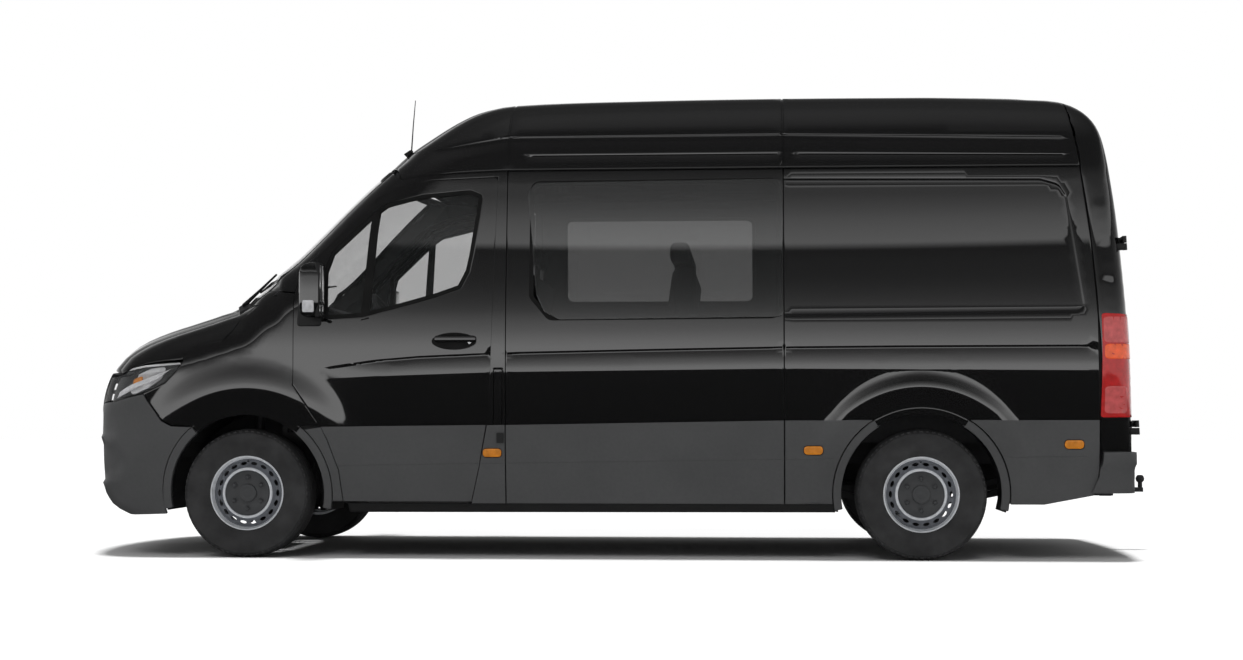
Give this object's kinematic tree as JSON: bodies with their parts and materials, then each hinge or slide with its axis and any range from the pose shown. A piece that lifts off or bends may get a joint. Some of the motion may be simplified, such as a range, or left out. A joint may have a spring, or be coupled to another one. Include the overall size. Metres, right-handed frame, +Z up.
{
  "type": "panel van",
  "caption": "High-roof crew panel van with hinged cab doors, bonnet, rear doors and fuel flap, steered front wheels and rolling wheels.",
  "frame": {"origin": "on the ground below the middle of the vehicle's box", "axes": "+Z up, nose towards -X, the vehicle's left side towards -Y"},
  "size_m": [6.039, 2.34, 2.6072],
  "materials": {
    "black_paint": "glossy black body paint",
    "grey_plastic": "matte dark grey moulding",
    "dark_steel": "dark coated steel",
    "rim_silver": "silver painted steel",
    "tyre_rubber": "worn rubber",
    "tinted_glass": "grey tinted",
    "clear_lens": "clear lens",
    "red_lens": "red lens",
    "grey_cloth": "woven cloth"
  },
  "bodies": {
    "body": {"side_panel_left": "black_paint", "side_glass_left": "tinted_glass", "rear_panel_left": "black_paint", "sliding_door": "black_paint", "sliding_door_glass": "tinted_glass", "rear_panel_right": "black_paint", "roof": "black_paint", "windscreen": "tinted_glass", "rear_frame": "black_paint", "tail_lamp_left": "red_lens", "tail_lamp_right": "red_lens", "front_bumper": "grey_plastic", "grille": "grey_plastic", "headlamp_left": "clear_lens", "headlamp_right": "clear_lens", "wing_left": "black_paint", "wing_right": "black_paint", "cab_frame": "black_paint", "load_floor": "dark_steel", "chassis_frame": "dark_steel", "rear_axle": "dark_steel", "engine_block": "dark_steel", "driver_seat": "grey_cloth", "passenger_bench": "grey_cloth", "crew_bench": "grey_cloth", "dashboard": "grey_plastic", "rear_bumper": "grey_plastic", "tow_bar": "dark_steel"},
    "knuckle_left": {"knuckle_left": "dark_steel"},
    "knuckle_right": {"knuckle_right": "dark_steel"},
    "wheel_front_left": {"tyre_front_left": "tyre_rubber", "rim_front_left": "rim_silver"},
    "wheel_front_right": {"tyre_front_right": "tyre_rubber", "rim_front_right": "rim_silver"},
    "wheel_rear_left": {"tyre_rear_left": "tyre_rubber", "rim_rear_left": "rim_silver"},
    "wheel_rear_right": {"tyre_rear_right": "tyre_rubber", "rim_rear_right": "rim_silver"},
    "cab_door_left": {"cab_door_left": "black_paint", "cab_glass_left": "tinted_glass", "mirror_left": "grey_plastic"},
    "cab_door_right": {"cab_door_right": "black_paint", "cab_glass_right": "tinted_glass", "mirror_right": "grey_plastic"},
    "rear_door_left": {"rear_door_left": "black_paint"},
    "rear_door_right": {"rear_door_right": "black_paint"},
    "bonnet": {"bonnet": "black_paint"},
    "steering_wheel": {"steering_wheel": "grey_plastic"},
    "fuel_flap": {"fuel_flap": "black_paint"}
  },
  "joints": [
    {"name": "steer_left", "type": "hinge", "parent": "body", "child": "knuckle_left", "pos_m": [-2.0155, -0.77204, 0.351], "axis": [0, 0.225, 0.9744], "range_deg": [-36, 36]},
    {"name": "steer_right", "type": "hinge", "parent": "body", "child": "knuckle_right", "pos_m": [-2.0155, 0.77204, 0.351], "axis": [0, -0.225, 0.9744], "range_deg": [-36, 36]},
    {"name": "steering_wheel_turn", "type": "hinge", "parent": "body", "child": "steering_wheel", "pos_m": [-1.31549, -0.47004, 1.2999], "axis": [0.848, 0, 0.5299], "range_deg": [-540, 540]},
    {"name": "spin_front_left", "type": "hinge", "parent": "knuckle_left", "child": "wheel_front_left", "pos_m": [-2.0155, -0.86601, 0.351], "axis": [0, 1, 0], "continuous": true},
    {"name": "spin_front_right", "type": "hinge", "parent": "knuckle_right", "child": "wheel_front_right", "pos_m": [-2.0155, 0.86601, 0.351], "axis": [0, 1, 0], "continuous": true},
    {"name": "spin_rear_left", "type": "hinge", "parent": "body", "child": "wheel_rear_left", "pos_m": [1.6495, -0.86601, 0.351], "axis": [0, 1, 0], "continuous": true},
    {"name": "spin_rear_right", "type": "hinge", "parent": "body", "child": "wheel_rear_right", "pos_m": [1.6495, 0.86601, 0.351], "axis": [0, 1, 0], "continuous": true},
    {"name": "cab_door_left_hinge", "type": "hinge", "parent": "body", "child": "cab_door_left", "pos_m": [-1.71548, -1.00299, 1.00006], "axis": [0, 0, -1], "range_deg": [0, 70]},
    {"name": "cab_door_right_hinge", "type": "hinge", "parent": "body", "child": "cab_door_right", "pos_m": [-1.71548, 1.00299, 1.00006], "axis": [0, 0, 1], "range_deg": [0, 70]},
    {"name": "rear_door_left_hinge", "type": "hinge", "parent": "body", "child": "rear_door_left", "pos_m": [2.80451, -0.905, 0.64005], "axis": [0.0544, 0, -0.9985], "range_deg": [0, 180]},
    {"name": "rear_door_right_hinge", "type": "hinge", "parent": "body", "child": "rear_door_right", "pos_m": [2.80451, 0.905, 0.64005], "axis": [-0.0544, 0, 0.9985], "range_deg": [0, 180]},
    {"name": "bonnet_hinge", "type": "hinge", "parent": "body", "child": "bonnet", "pos_m": [-2.0655, 0, 1.44004], "axis": [0, 1, 0], "range_deg": [0, 55]},
    {"name": "fuel_flap_hinge", "type": "hinge", "parent": "body", "child": "fuel_flap", "pos_m": [-0.60847, -0.99997, 0.87502], "axis": [0, 0, 1], "range_deg": [0, 100]}
  ],
  "couplings": [
    {"joint": "steer_right", "follows": "steer_left", "ratio": 1},
    {"joint": "steering_wheel_turn", "follows": "steer_left", "ratio": 15}
  ]
}
